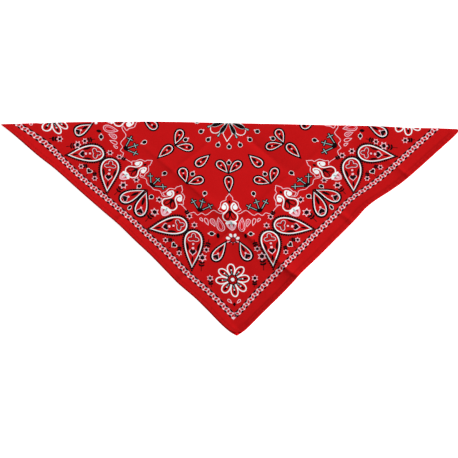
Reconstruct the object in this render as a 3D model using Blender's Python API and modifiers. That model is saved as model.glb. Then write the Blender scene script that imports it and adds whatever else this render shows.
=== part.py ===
"""A square cotton bandana, folded once corner to corner and laid flat.

The fold runs along +X at the back (+Y) and the point of the triangle is at the front (-Y). Two layers
of cloth lie on each other: the under half is flat on z = 0, and the front half lies over it with the
creases of the package it was folded in. Every place on a layer is given in cloth coordinates:
p runs from the point up the left side, q from the point up the right side, both as a share of the
square's side, and the fold is where p + q = 1.
"""

import math

import bpy
from mathutils import Vector

MM = 0.001

# The cut square.
SIDE = 559 * MM
HEM_WIDTH = 7 * MM

# Thickness of the plain cloth and of the twice-turned hem, and the gap kept between pieces.
WALL = 1.0 * MM
HEM_WALL = 1.3 * MM
GAP = 0.3 * MM

# The corners of the under layer as it lies, seen from above.
POINT = Vector((14.4, -192.9)) * MM
LEFT_TIP = Vector((-409.5, 188.0)) * MM
RIGHT_TIP = Vector((415.8, 179.0)) * MM
DEPTH = 376 * MM            # from the fold to the point
RIGHT_TIP_CUT = 8.5 * MM    # what the blunt right tip takes off the side of the square

# How the front layer lies on the under one.
PEEK = 1.6 * MM             # the under layer shows this far past the front one
POINT_PULL = 4.2 * MM       # the front point is drawn back this much further
POINT_REACH = 14 * MM       # and that dies away over this distance
FOLD_LOFT = 0.8 * MM        # the front half stands this much off the under half at the fold
FOLD_LOFT_REACH = 45 * MM
FOLD_CALM = 0.35            # share of the creases' height that is left at the fold
BEND_STEPS = 8

# How far each laid edge strays from a straight line between its corners.
# share of the edge from the point, mm drawn in
LEFT_EDGE = (
    (0.000, 0.0),
    (0.023, -2.9),
    (0.056, -3.5),
    (0.128, -0.9),
    (0.180, 0.4),
    (0.250, -0.4),
    (0.302, 1.6),
    (0.374, 4.4),
    (0.444, 5.3),
    (0.514, 7.0),
    (0.580, 6.1),
    (0.680, 5.5),
    (0.783, 5.2),
    (0.850, 2.6),
    (0.950, 1.7),
    (1.000, 0.0),
)
RIGHT_EDGE = (
    (0.000, 0.0),
    (0.034, -2.6),
    (0.108, -1.2),
    (0.200, 0.5),
    (0.258, 2.5),
    (0.297, 4.7),
    (0.370, 5.3),
    (0.444, 6.9),
    (0.500, 7.9),
    (0.557, 9.6),
    (0.596, 11.7),
    (0.640, 10.0),
    (0.692, 4.9),
    (0.757, 0.6),
    (0.900, -0.9),
    (0.970, -1.2),
    (1.000, 0.0),
)
# share of the fold from its left tip, mm bowed out
FOLD_EDGE = (
    (0.000, 0.4),
    (0.070, 2.7),
    (0.170, 5.5),
    (0.300, 7.4),
    (0.366, 7.5),
    (0.500, 6.7),
    (0.600, 5.8),
    (0.700, 5.0),
    (0.820, 4.1),
    (0.890, 1.8),
    (0.950, 1.5),
    (1.000, 0.4),
)
SIDE_EDGE_HOLD = 3                               # how fast a side's wave dies away inside the cloth
MIDDLE_SETTLE = Vector((-2.3, -2.5)) * MM        # drift of the middle of the triangle

# The package creases. Each keeps one cloth coordinate, "p" or "q", at a share of the side.
# A rise is a ridge and a fall is a trough. Widths are its slope towards the hem and towards the tip.
# coordinate, at, rise mm, hem-side width mm, tip-side width mm, strength at the hem, midway, at the fold
CREASES = (
    ("q", 0.25, 2.8, 34, 26, 0.75, 1.00, 0.55),
    ("p", 0.25, 1.5, 22, 30, 0.80, 0.55, 0.70),
    ("q", 0.50, -0.8, 12, 16, 0.60, 0.80, 1.00),
    ("p", 0.50, 1.2, 26, 18, 1.00, 0.90, 0.60),
    ("q", 0.75, 1.1, 18, 22, 1.00, 0.60, 0.50),
    ("p", 0.75, -0.5, 14, 12, 0.50, 1.00, 0.60),
)
CREST_RADIUS = 2.5 * MM
FOLDS_PER_SIDE = 4

# How high the cloth billows in the squares between the creases, in mm.
# Rows go up the left side from the point, and columns go up the right side.
BILLOWS = (
    (1.2, 2.2, 1.6, 1.0),
    (1.8, 1.3, 2.0),
    (1.4, 2.4),
    (1.1,),
)

# Grid lines of each quarter of the side, closer together beside a crease.
QUARTER_LINES = (0.0, 0.0072, 0.0179, 0.0447, 0.0805)

COTTON_RED = (0.52, 0.007, 0.009, 1.0)
HEM_RED = (0.46, 0.006, 0.008, 1.0)
COTTON_ROUGHNESS = 0.85


def eased(table, at):
    """The table's second column at a place in its first, on a smooth curve through its rows."""
    last = len(table) - 2
    row = min(last, max(0, sum(entry[0] <= at for entry in table) - 1))
    (x0, y0), (x1, y1) = table[row], table[row + 1]
    slope = (y1 - y0) / (x1 - x0)
    before = table[row - 1] if row > 0 else table[row]
    after = table[row + 2] if row < last else table[row + 1]
    start = (y1 - before[1]) / (x1 - before[0]) if row > 0 else slope
    end = (after[1] - y0) / (after[0] - x0) if row < last else slope
    share = (at - x0) / (x1 - x0)
    start_pull = (start - slope) * (x1 - x0) * share * (1 - share) ** 2
    end_pull = (slope - end) * (x1 - x0) * share**2 * (1 - share)
    return y0 + (y1 - y0) * share + start_pull + end_pull


def smooth_step(value):
    value = min(1.0, max(0.0, value))
    return value * value * (3 - 2 * value)


def across(start, end, towards):
    """The unit vector square to start-end, on the side of towards."""
    along = (end - start).normalized()
    square = Vector((-along.y, along.x))
    return square if square.dot(towards - start) > 0 else -square


INTO_LEFT = across(POINT, LEFT_TIP, RIGHT_TIP)
INTO_RIGHT = across(POINT, RIGHT_TIP, LEFT_TIP)
OUT_OF_FOLD = -across(LEFT_TIP, RIGHT_TIP, POINT)
BEND_REACH = GAP + (WALL + GAP + FOLD_LOFT) / 2 + WALL / 2


def fold_wave(share):
    return eased(FOLD_EDGE, share) * MM - BEND_REACH


def plan(p, q, pull=0.0):
    """Where a place on the cloth lies, seen from above."""
    rest = 1 - p - q
    place = POINT + p * (LEFT_TIP - POINT) + q * (RIGHT_TIP - POINT)
    left_share = p / max(p + rest, 1e-9)
    right_share = q / max(q + rest, 1e-9)
    fold_share = q / max(p + q, 1e-9)
    place += INTO_LEFT * (eased(LEFT_EDGE, left_share) * MM * (1 - q) ** SIDE_EDGE_HOLD)
    place += INTO_RIGHT * (eased(RIGHT_EDGE, right_share) * MM * (1 - p) ** SIDE_EDGE_HOLD)
    place += OUT_OF_FOLD * (fold_wave(fold_share) * (p + q))
    place += MIDDLE_SETTLE * (27 * p * q * rest)
    place.y += pull * math.exp(-(((p + q) * SIDE / POINT_REACH) ** 2))
    return place


def crease_lift(p, q):
    """The ridges and troughs of the package creases."""
    total = 0.0
    for kept, at, rise, hem_width, tip_width, at_hem, midway, at_fold in CREASES:
        across_it, along_it = (p, q) if kept == "p" else (q, p)
        strength = eased(((0.0, at_hem), (0.5, midway), (1.0, at_fold)), along_it / (1 - at))
        offset = (across_it - at) * SIDE
        width = (hem_width if offset < 0 else tip_width) * MM
        distance = math.hypot(offset, CREST_RADIUS) - CREST_RADIUS
        total += rise * MM * strength * max(0.0, 1 - distance / width) ** 2
    return total


def billow(p, q):
    """The air under the cloth between its creases."""
    row = min(FOLDS_PER_SIDE - 1, int(p * FOLDS_PER_SIDE))
    column = min(FOLDS_PER_SIDE - 1 - row, int(q * FOLDS_PER_SIDE))
    wave = math.sin(math.pi * FOLDS_PER_SIDE * p) * math.sin(math.pi * FOLDS_PER_SIDE * q)
    return BILLOWS[row][column] * MM * abs(wave)


def lift(p, q):
    """How far the front layer stands off the under one."""
    from_fold = (1 - p - q) * DEPTH
    near_fold = 1 - smooth_step(from_fold / FOLD_LOFT_REACH)
    folds = max(0.0, crease_lift(p, q) + billow(p, q))
    return folds * (1 - (1 - FOLD_CALM) * near_fold) + FOLD_LOFT * near_fold


def grid_lines(first, last):
    """Shares of the side from first to last, with the package folds and their neighbours between."""
    step = 1 / FOLDS_PER_SIDE
    inner = set()
    for fold in range(FOLDS_PER_SIDE):
        for offset in QUARTER_LINES:
            inner.add(round(fold * step + offset, 6))
            inner.add(round((fold + 1) * step - offset, 6))
        inner.add(round((fold + 0.5) * step, 6))
    clear = 3 * MM / SIDE
    return [first] + sorted(line for line in inner if first + clear < line < last - clear) + [last]


def cloth_material(name, colour):
    material = bpy.data.materials.new(name)
    material.use_nodes = True
    shader = material.node_tree.nodes["Principled BSDF"]
    shader.inputs["Base Color"].default_value = colour
    shader.inputs["Roughness"].default_value = COTTON_ROUGHNESS
    shader.inputs["Metallic"].default_value = 0.0
    return material


def add_sheet(name, points, faces, thickness, offset, colour):
    """An open surface thickened into a cloth wall: offset -1 grows it downwards from the surface."""
    mesh = bpy.data.meshes.new(name)
    mesh.from_pydata(points, [], faces)
    mesh.materials.append(cloth_material(name, colour))
    sheet = bpy.data.objects.new(name, mesh)
    bpy.data.collections["bandana"].objects.link(sheet)
    mesh.shade_smooth()
    solid = sheet.modifiers.new("wall", "SOLIDIFY")
    solid.thickness = thickness
    solid.offset = offset
    return sheet


def at_height(place, height):
    return (place.x, place.y, height)


def add_half(name, inset, top, lifted):
    """One triangular half of the square inside its hems, gridded along the cloth's own threads."""
    first = (inset + HEM_WIDTH + GAP) / SIDE
    lines = grid_lines(first, 1 - first)
    pull = POINT_PULL if lifted else 0.0
    points = []
    index = {}
    for i, p in enumerate(lines):
        for j, q in enumerate(lines[: len(lines) - i]):
            index[i, j] = len(points)
            height = top + (lift(p, q) if lifted else 0.0)
            points.append(at_height(plan(p, q, pull), height))
    faces = []
    for i, j in index:
        if (i + 1, j + 1) in index:
            faces.append((index[i, j], index[i, j + 1], index[i + 1, j + 1], index[i + 1, j]))
        elif (i + 1, j) in index:
            faces.append((index[i, j], index[i, j + 1], index[i + 1, j]))
    return add_sheet(name, points, faces, WALL, -1, COTTON_RED)


def hem_end(outer):
    """Where a line of the right hem meets the fold, or the blunt end of the right tip."""
    cut = RIGHT_TIP_CUT / (2 * SIDE)
    return min(1 - outer, 1 - 2 * cut + outer)


def add_hem(name, inset, top, lifted, side):
    """The hem along one side: three lines of points across it, and the grid's stations along it."""
    rows = [(inset + share * HEM_WIDTH) / SIDE for share in (0.0, 0.5, 1.0)]
    start = inset / SIDE if side == "left" else rows[-1] + GAP / SIDE
    stations = grid_lines(start, 1 - rows[-1])[:-1]
    pull = POINT_PULL if lifted else 0.0
    points = []
    for row in rows:
        end = 1 - row if side == "left" else hem_end(row)
        for station in stations + [end]:
            p, q = (station, row) if side == "left" else (row, station)
            height = top + (lift(p, q) if lifted else 0.0)
            points.append(at_height(plan(p, q, pull), height))
    count = len(stations) + 1
    faces = []
    for row in range(len(rows) - 1):
        for step in range(count - 1):
            corner = row * count + step
            face = (corner, corner + count, corner + count + 1, corner + 1)
            faces.append(face if side == "left" else face[::-1])
    return add_sheet(name, points, faces, HEM_WALL, -1, HEM_RED)


def add_bend():
    """The bend along the fold: a half round from the under half's edge up to the front half's."""
    cut = RIGHT_TIP_CUT / (2 * SIDE)
    shares = [PEEK / SIDE] + grid_lines(HEM_WIDTH / SIDE, 1 - HEM_WIDTH / SIDE) + [1 - cut]
    points = []
    for share in shares:
        edge = plan(1 - share, share) + OUT_OF_FOLD * GAP
        front_middle = WALL + GAP + lift(1 - share, share) + WALL / 2
        radius = (front_middle - WALL / 2) / 2
        for step in range(BEND_STEPS + 1):
            turn = math.pi * step / BEND_STEPS
            place = edge + OUT_OF_FOLD * (radius * math.sin(turn))
            points.append(at_height(place, front_middle - radius + radius * math.cos(turn)))
    across_it = BEND_STEPS + 1
    faces = []
    for station in range(len(shares) - 1):
        for step in range(BEND_STEPS):
            corner = station * across_it + step
            faces.append((corner, corner + across_it, corner + across_it + 1, corner + 1))
    return add_sheet("fold_bend", points, faces, WALL, 0, COTTON_RED)


def clear_scene():
    for thing in list(bpy.data.objects):
        bpy.data.objects.remove(thing, do_unlink=True)
    for group in list(bpy.data.collections):
        bpy.data.collections.remove(group)


def main():
    clear_scene()
    bpy.context.scene.collection.children.link(bpy.data.collections.new("bandana"))
    add_half("under_half", 0.0, WALL, lifted=False)
    add_half("front_half", PEEK, WALL + GAP + WALL, lifted=True)
    for side in ("left", "right"):
        add_hem(f"under_hem_{side}", 0.0, HEM_WALL, False, side)
        add_hem(f"front_hem_{side}", PEEK, HEM_WALL + GAP + HEM_WALL, True, side)
    add_bend()


main()
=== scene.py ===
# %% [markdown]
# # A cotton bandana, folded corner to corner
# The real thing is one square of plain-weave cotton, 22 inches across, printed on one side and hemmed all
# round. Here it lies folded once on its diagonal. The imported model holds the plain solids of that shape.
# This lesson gives them their cloth: one printed sheet that runs round the fold, four turned hems and their
# stitches.

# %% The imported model, and the box that it fills
import math

import bpy
import numpy as np
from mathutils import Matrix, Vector
from mathutils.geometry import delaunay_2d_cdt


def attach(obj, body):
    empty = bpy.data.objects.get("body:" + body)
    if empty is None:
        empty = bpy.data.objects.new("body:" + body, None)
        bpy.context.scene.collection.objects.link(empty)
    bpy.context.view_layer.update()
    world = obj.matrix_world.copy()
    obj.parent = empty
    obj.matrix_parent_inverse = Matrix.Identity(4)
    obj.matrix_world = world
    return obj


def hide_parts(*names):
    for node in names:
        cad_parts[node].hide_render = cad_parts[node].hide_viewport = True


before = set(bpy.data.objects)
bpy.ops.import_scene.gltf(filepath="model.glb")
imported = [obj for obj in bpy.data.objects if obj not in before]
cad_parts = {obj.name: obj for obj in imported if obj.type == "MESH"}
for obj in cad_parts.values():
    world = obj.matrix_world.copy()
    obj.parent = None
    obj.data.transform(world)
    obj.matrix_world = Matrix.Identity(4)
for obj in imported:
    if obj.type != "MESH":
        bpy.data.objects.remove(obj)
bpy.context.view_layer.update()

print("solids:", sorted(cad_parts))

# %% [markdown]
# ## Sizes
# The camera comes first, and for that the sizes. All lengths are in metres. The heights stack up as the
# layers do: the under layer lies on the table, its hem on top of it, then the front hem, and the front
# layer over all.

# %% Sizes of the square and of its layers
MM = 0.001
SIDE = 559 * MM
HEM_WIDTH = 7 * MM
CLOTH = 0.45 * MM           # the cotton itself
WALL = 1.0 * MM             # the plain solids' walls
HEM_WALL = 1.3 * MM
GAP = 0.3 * MM
FRONT_TOP = 2 * WALL + GAP                  # printed face of the front layer, lying flat
HEM_TOP = 2 * HEM_WALL + GAP                # the same face over the hem
HEM_ROUND = HEM_WALL / 2                    # the hem's edge is a half round
print(f"front face {FRONT_TOP / MM:.1f} mm up, {HEM_TOP / MM:.1f} mm over the hem")

# %% [markdown]
# ## Camera
# The bandana was laid on a white surface and seen straight from above, through a lens long enough to keep
# its edges true. The width seen at the cloth and the lens give the camera's height.

# %% Camera
VIEW_WIDTH = 824.4 * MM
LENS = 85.0                 # this and the sensor in mm, as they are sold
SENSOR = 36.0
CAMERA_Y = -0.5 * MM
camera = bpy.data.objects.new("camera", bpy.data.cameras.new("camera"))
camera.data.lens = LENS
camera.data.sensor_width = SENSOR
camera.location = (0.0, CAMERA_Y, VIEW_WIDTH * LENS / SENSOR)
bpy.context.scene.collection.objects.link(camera)
bpy.context.scene.camera = camera
bpy.context.scene.view_settings.view_transform = "Standard"
print(f"camera {camera.location.z:.3f} m above the table")

# %% [markdown]
# ## Shader maths as sums
# A material is a graph of small nodes. With a socket wrapped in a class, nodes are added and multiplied
# like numbers, and a recipe for cloth reads as a line of maths. Every material starts from the plain
# Principled shader.

# %% A helper for shader maths
class Wire:
    """A socket of a material's nodes. Sums on it add Math nodes, and `add` makes any other node."""

    def __init__(self, tree, socket=None):
        self.tree = tree
        self.socket = socket

    def add(self, kind, settings, values, output=0):
        node = self.tree.nodes.new("ShaderNode" + kind)
        for name, value in settings.items():
            setattr(node, name, value)
        for name, value in values.items():
            if isinstance(value, Wire):
                self.tree.links.new(value.socket, node.inputs[name])
            else:
                node.inputs[name].default_value = value
        return Wire(self.tree, node.outputs[output])

    def sum(self, operation, *values):
        return self.add("Math", {"operation": operation}, dict(enumerate(values)))

    def __add__(self, other):
        return self.sum("ADD", self, other)

    def __mul__(self, other):
        return self.sum("MULTIPLY", self, other)

    __radd__ = __add__
    __rmul__ = __mul__

    def sine(self):
        return self.sum("SINE", self)

    def mix(self, start, end):
        """A colour between two others, with this value as the share of the second."""
        colours = {0: self, 6: start, 7: end}
        return self.add("Mix", {"data_type": "RGBA"}, colours, output=2)

    def stretched(self, scale):
        """These coordinates times a scale along each axis."""
        return self.add("VectorMath", {"operation": "MULTIPLY"}, {0: self, 1: scale})

    def noise(self, scale, detail=2.0):
        """Soft noise on these coordinates, from 0 to 1."""
        return self.add("TexNoise", {}, {"Vector": self, "Scale": scale, "Detail": detail})


def new_material(name, roughness, shine=0.0):
    """A Principled material, and the wire to start its maths from."""
    material = bpy.data.materials.new(name)
    material.use_nodes = True
    shader = material.node_tree.nodes["Principled BSDF"]
    shader.inputs["Roughness"].default_value = roughness
    shader.inputs["Specular IOR Level"].default_value = shine
    return material, shader, Wire(material.node_tree)


def join(wire, socket):
    wire.tree.links.new(wire.socket, socket)


print("shader helper ready")

# %% [markdown]
# ## Light and table
# Flat cloth shows its creases only where light comes in low, so a sun stands low at the right. A softbox
# beyond the folded edge and a pale sky fill in the rest. The table is a white light table: it glows by
# itself, so that the shadow of two layers of cloth stays faint on it.

# %% Table and lights
TABLE_SIZE = 8.0
TABLE_GLOW = 0.8
SUN_BEARING = math.radians(8)      # from +X towards +Y
SUN_HEIGHT = math.radians(18)
SUN_SPREAD = math.radians(22)
SUN_POWER = 6.4
SKY_STRENGTH = 0.24
SOFTBOX_AT = (0.1, 1.3, 1.3)
SOFTBOX_SIZE = 1.0
SOFTBOX_POWER = 9.0


def add_table():
    bpy.ops.mesh.primitive_plane_add(size=TABLE_SIZE)
    table = bpy.context.object
    table.name = "table"
    material, shader, wire = new_material("light_table", 0.9)
    place = wire.add("TexCoord", {}, {}, output="Object")
    join(place.noise(3.0).mix((0.93, 0.93, 0.93, 1), (0.95, 0.95, 0.95, 1)), shader.inputs["Base Color"])
    shader.inputs["Emission Color"].default_value = (1.0, 1.0, 1.0, 1)
    shader.inputs["Emission Strength"].default_value = TABLE_GLOW
    table.data.materials.append(material)


def add_light(name, kind, towards, place=(0, 0, 0), **settings):
    """A light that shines from one side towards the middle of the table."""
    light = bpy.data.lights.new(name, kind)
    for setting, value in settings.items():
        setattr(light, setting, value)
    lamp = bpy.data.objects.new(name, light)
    lamp.location = place
    lamp.rotation_euler = Vector(towards).to_track_quat("Z", "Y").to_euler()
    bpy.context.scene.collection.objects.link(lamp)


add_table()
level = math.cos(SUN_HEIGHT)
from_sun = (level * math.cos(SUN_BEARING), level * math.sin(SUN_BEARING), math.sin(SUN_HEIGHT))
add_light("low_sun", "SUN", from_sun, energy=SUN_POWER, angle=SUN_SPREAD)
# from beyond the folded edge, so the cloth grows a little darker towards its point
add_light("softbox", "AREA", SOFTBOX_AT, SOFTBOX_AT, energy=SOFTBOX_POWER, size=SOFTBOX_SIZE)
sky = bpy.data.worlds.new("pale_sky")
sky.use_nodes = True
sky.node_tree.nodes["Background"].inputs["Color"].default_value = (1.0, 1.0, 1.0, 1)
sky.node_tree.nodes["Background"].inputs["Strength"].default_value = SKY_STRENGTH
bpy.context.scene.world = sky
print(f"sun {math.degrees(SUN_HEIGHT):.0f} degrees up, sky {SKY_STRENGTH}")

# %% [markdown]
# ## How the square lies
# A place on the cloth is given by two shares of the side: p runs from the point up the left side, q up the
# right side. The fold is where p + q = 1, and past it the same shares, counted from the far corner, give
# the under half. The tables say how far each laid edge strays from a straight line, as handled cloth does.

# %% Corners and edges of the laid triangle
POINT = np.array((14.4, -192.9)) * MM
LEFT_TIP = np.array((-409.5, 188.0)) * MM
RIGHT_TIP = np.array((415.8, 179.0)) * MM
DEPTH = 376 * MM            # from the fold to the point
RIGHT_TIP_CUT = 8.5 * MM    # how much of the right tip is blunt
PEEK = 1.6 * MM             # how far the under half shows past the front one
PEEK_REACH = 0.06           # share of the depth over which the front edge draws in from the tips
POINT_PULL = 4.2 * MM       # how far the front's point has slid up from the under one, and over what reach
POINT_REACH = 14 * MM
FOLD_LOFT = 0.8 * MM        # how much higher the bend stands than pressed cloth, and over what reach
FOLD_LOFT_REACH = 45 * MM
FOLD_CALM = 0.5             # share of the creases' height that is left at the fold
SIDE_EDGE_HOLD = 3          # how fast the waves of a side edge fade inwards
MIDDLE_SETTLE = np.array((-2.3, -2.5)) * MM     # how far the middle of a half has slipped
# share of the edge from the point, mm drawn in
LEFT_EDGE = (
    (0.000, 0.0), (0.023, -2.9), (0.056, -3.5), (0.128, -0.9), (0.180, 0.4), (0.250, -0.4), (0.302, 1.6),
    (0.374, 4.4), (0.444, 5.3), (0.514, 7.0), (0.580, 6.1), (0.680, 5.5), (0.783, 5.2), (0.850, 2.6),
    (0.950, 1.7), (1.000, 0.0),
)
RIGHT_EDGE = (
    (0.000, 0.0), (0.034, -2.6), (0.108, -1.2), (0.200, 0.5), (0.258, 2.5), (0.297, 4.7), (0.370, 5.3),
    (0.444, 6.9), (0.500, 7.9), (0.557, 9.6), (0.596, 11.7), (0.640, 10.0), (0.692, 4.9), (0.757, 0.6),
    (0.900, -0.9), (0.970, -1.2), (1.000, 0.0),
)
# share of the fold from its left tip, mm bowed out
FOLD_EDGE = (
    (0.000, 0.4), (0.070, 2.7), (0.170, 5.5), (0.300, 7.4), (0.366, 7.5), (0.500, 6.7), (0.600, 5.8),
    (0.700, 5.0), (0.820, 4.1), (0.890, 1.8), (0.950, 1.5), (1.000, 0.4),
)
BEND_REACH = GAP + (WALL + GAP + FOLD_LOFT) / 2 + WALL / 2
BEND_HALF = 2.6 * MM        # cloth on each side of the fold line that goes round the bend
print("rows in the edge tables:", len(LEFT_EDGE), len(RIGHT_EDGE), len(FOLD_EDGE))

# %% [markdown]
# ### From shares to places
# `plan` lays a half square out between its three corners, then moves each place by what its three edges ask
# for. An edge's wave counts most along that edge and fades across the cloth.

# %% The plan of one half
def eased(table, at):
    """The table's second column at places in its first, on a smooth curve through its rows."""
    x, y = np.array(table, float).T
    slope = np.diff(y) / np.diff(x)
    tangent = np.r_[slope[0], (y[2:] - y[:-2]) / (x[2:] - x[:-2]), slope[-1]]
    row = np.clip(np.searchsorted(x, at, side="right") - 1, 0, len(x) - 2)
    width = x[row + 1] - x[row]
    share = (at - x[row]) / width
    start_pull = (tangent[row] - slope[row]) * width * share * (1 - share) ** 2
    end_pull = (slope[row] - tangent[row + 1]) * width * share**2 * (1 - share)
    return y[row] + (y[row + 1] - y[row]) * share + start_pull + end_pull


def smooth_step(value):
    value = np.clip(value, 0.0, 1.0)
    return value * value * (3 - 2 * value)


def across(start, end, towards):
    """The unit vector square to start-end, on the side of towards."""
    along = (end - start) / np.linalg.norm(end - start)
    square = np.array((-along[1], along[0]))
    return square if square @ (towards - start) > 0 else -square


INTO_LEFT = across(POINT, LEFT_TIP, RIGHT_TIP)
INTO_RIGHT = across(POINT, RIGHT_TIP, LEFT_TIP)
OUT_OF_FOLD = -across(LEFT_TIP, RIGHT_TIP, POINT)


def plan(p, q, pull=0.0):
    """Where places on one half lie, seen from above."""
    rest = 1 - p - q
    left = eased(LEFT_EDGE, p / np.maximum(p + rest, 1e-9)) * MM * (1 - q) ** SIDE_EDGE_HOLD
    right = eased(RIGHT_EDGE, q / np.maximum(q + rest, 1e-9)) * MM * (1 - p) ** SIDE_EDGE_HOLD
    fold = (eased(FOLD_EDGE, q / np.maximum(p + q, 1e-9)) * MM - BEND_REACH) * (p + q)
    place = POINT + np.outer(p, LEFT_TIP - POINT) + np.outer(q, RIGHT_TIP - POINT)
    place += np.outer(left, INTO_LEFT) + np.outer(right, INTO_RIGHT) + np.outer(fold, OUT_OF_FOLD)
    place += np.outer(27 * p * q * rest, MIDDLE_SETTLE)     # the product is 1/27 in the middle
    place[:, 1] += pull * np.exp(-(((p + q) * SIDE / POINT_REACH) ** 2))
    return place


corners = plan(np.array([0.0, 1.0, 0.0]), np.array([0.0, 0.0, 1.0]))
print("point, left and right tip in mm:", (corners / MM).round(1).tolist())

# %% [markdown]
# ## Creases and air
# A bandana is sold folded small, so each quarter of its side keeps a crease. Some stand up as ridges and
# some lie as troughs, each with its own height, and they fade along their length. Air stays under the
# squares between them. The flat panels between them lean, each hinged on its quarter lines, and finer
# waves, uneven along both threads, keep the cloth from looking pressed.

# %% Tables of creases, panels and waves
# coordinate, at, rise mm, hem-side width mm, tip-side width mm, strength at the hem, midway, at the fold
CREASES = (
    ("q", 0.25, 2.3, 30, 110, 1.00, 0.60, 0.00),
    ("p", 0.25, 1.0, 30, 12, 1.00, 0.60, 0.50),
    ("q", 0.50, -1.0, 14, 26, 0.20, 0.50, 1.00),
    ("p", 0.50, 0.9, 26, 16, 1.00, 0.80, 0.70),
    ("q", 0.75, 0.9, 18, 22, 1.00, 0.60, 0.50),
    ("p", 0.75, -0.5, 14, 12, 0.50, 1.00, 0.60),
    ("q", 0.25, 1.1, 7, 14, 1.00, 0.50, 0.00),
    ("p", 0.25, 0.4, 6, 4, 1.00, 0.30, 0.20),
    ("q", 0.50, 1.2, 9, 9, 1.00, 0.20, -0.40),
    ("p", 0.50, 0.6, 5, 4, 1.00, 0.30, 0.80),
    ("q", 0.75, 0.4, 7, 4, 1.00, 0.60, 0.50),
    ("p", 0.75, 0.3, 4, 5, 1.00, 0.20, 0.40),
)
# height in mm of each quarter line from the hem to the tip, and its strength at the hem, midway, at the fold
P_HINGES = ((0.1, 0.5, 1.0, 0.7, 0.1), (0.8, 0.8, 0.5))
Q_HINGES = ((0.1, 3.3, 0.9, 1.6, 0.2), (1.2, 0.8, 0.3))
CREST_RADIUS = 1.6 * MM
FOLDS_PER_SIDE = 4
# quarter, and how far past it, in shares of the side, a crease starts at the hem. It ends on it at the fold.
P_DRIFT = ((0.0, 0.0), (0.25, 0.005), (0.5, 0.027), (0.75, 0.025), (1.0, 0.0))
Q_DRIFT = ((0.0, 0.0), (0.25, 0.028), (0.5, 0.035), (0.75, 0.025), (1.0, 0.0))
# share of the side from the point, mm that the hem curls up at its rim
LEFT_CURL = ((0.0, 0.1), (0.25, 0.0), (0.5, 0.7), (0.75, 0.9), (1.0, 0.3))
RIGHT_CURL = ((0.0, 0.8), (0.2, 1.1), (0.3, 0.2), (0.6, 0.2), (0.8, 0.9), (1.0, 0.9))
LEFT_CURL_REACH = 24 * MM
RIGHT_CURL_REACH = 12 * MM
CURL_FADE = 0.05            # share of the depth over which the curl ends at the fold
# the sewn hem's puckers: spacing, the longer rhythm that upsets it, height, and reach from the edge
PUCKER_PITCH = 10.5 * MM
PUCKER_DRIFT = 67 * MM
PUCKER_RISE = 0.12 * MM
PUCKER_REACH = 10 * MM
# mm: rows go up the left side from the point, columns up the right side
BILLOWS = ((0.5, 1.0, 0.7, 0.5), (0.8, 0.5, 0.9, 0.0), (0.6, 1.1, 0.0, 0.0), (0.5, 0.0, 0.0, 0.0))
# waves along p, waves along q, start, height mm
RIPPLES = (
    (9.0, 2.5, 0.4, 0.10),
    (-3.0, 11.0, 1.9, 0.09),
    (14.0, 6.0, 3.1, 0.05),
    (5.0, -17.0, 0.8, 0.04),
)
print(len(CREASES), "rows of creases,", len(RIPPLES), "sets of fine waves")

# %% [markdown]
# ### Adding them up
# Each kind of relief is a function of the two shares. `lift` is their sum: how far the front layer stands
# off the under one. It can't be less than nothing, and it calms down towards the bend.

# %% Height of the front layer
def on_creases(p, q):
    """The places moved so that the creases fall on the quarters."""
    rest = np.maximum(1 - p - q, 0.0)
    p_drift = eased(P_DRIFT, np.clip(p, 0, 1)) * rest / np.maximum(1 - p, 1e-9)
    q_drift = eased(Q_DRIFT, np.clip(q, 0, 1)) * rest / np.maximum(1 - q, 1e-9)
    return p - p_drift, q - q_drift


def crease_lift(p, q):
    """The ridges and troughs of the package creases."""
    total = np.zeros(len(p))
    for kept, at, rise, hem_width, tip_width, at_hem, midway, at_fold in CREASES:
        across_it, along_it = (p, q) if kept == "p" else (q, p)
        strength = eased(((0.0, at_hem), (0.5, midway), (1.0, at_fold)), along_it / (1 - at))
        offset = (across_it - at) * SIDE
        width = np.where(offset < 0, hem_width, tip_width) * MM
        distance = np.hypot(offset, CREST_RADIUS) - CREST_RADIUS
        total += rise * MM * strength * np.maximum(0.0, 1 - distance / width) ** 2
    return total


def hinged(p, q):
    """The flat panels between the creases lean, each hinged on its quarter lines."""
    quarters = np.linspace(0, 1, FOLDS_PER_SIDE + 1)
    total = np.zeros(len(p))
    for at, along_it, (heights, strengths) in ((p, q, P_HINGES), (q, p, Q_HINGES)):
        strength = np.interp(along_it / np.maximum(1 - at, 1e-9), (0, 0.5, 1), strengths)
        total += np.interp(at, quarters, heights) * MM * strength
    return total


def billow(p, q):
    """The air under the cloth between its creases."""
    row = np.clip((p * FOLDS_PER_SIDE).astype(int), 0, FOLDS_PER_SIDE - 1)
    column = np.clip((q * FOLDS_PER_SIDE).astype(int), 0, FOLDS_PER_SIDE - 1 - row)
    wave = np.sin(math.pi * FOLDS_PER_SIDE * p) * np.sin(math.pi * FOLDS_PER_SIDE * q)
    return np.array(BILLOWS)[row, column] * MM * np.abs(wave)


def ripple(p, q):
    return sum(height * MM * np.sin(2 * math.pi * (a * p + b * q) + start) for a, b, start, height in RIPPLES)


def lift(p, q):
    """How far the front layer stands off the under one."""
    near_fold = 1 - smooth_step((1 - p - q) * DEPTH / FOLD_LOFT_REACH)
    p, q = on_creases(p, q)
    folds = np.maximum(0.0, crease_lift(p, q) + hinged(p, q) + billow(p, q))
    return folds * (1 - (1 - FOLD_CALM) * near_fold) + FOLD_LOFT * near_fold


def hem_curl(p, q):
    """The hems' rims curl up a little off the table, more in some stretches than in others."""
    left = eased(LEFT_CURL, np.clip(p, 0, 1)) * np.clip(1 - q * SIDE / LEFT_CURL_REACH, 0, 1) ** 2
    right = eased(RIGHT_CURL, np.clip(q, 0, 1)) * np.clip(1 - p * SIDE / RIGHT_CURL_REACH, 0, 1) ** 2
    return (left + right) * MM * smooth_step((1 - p - q) / CURL_FADE)


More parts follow.
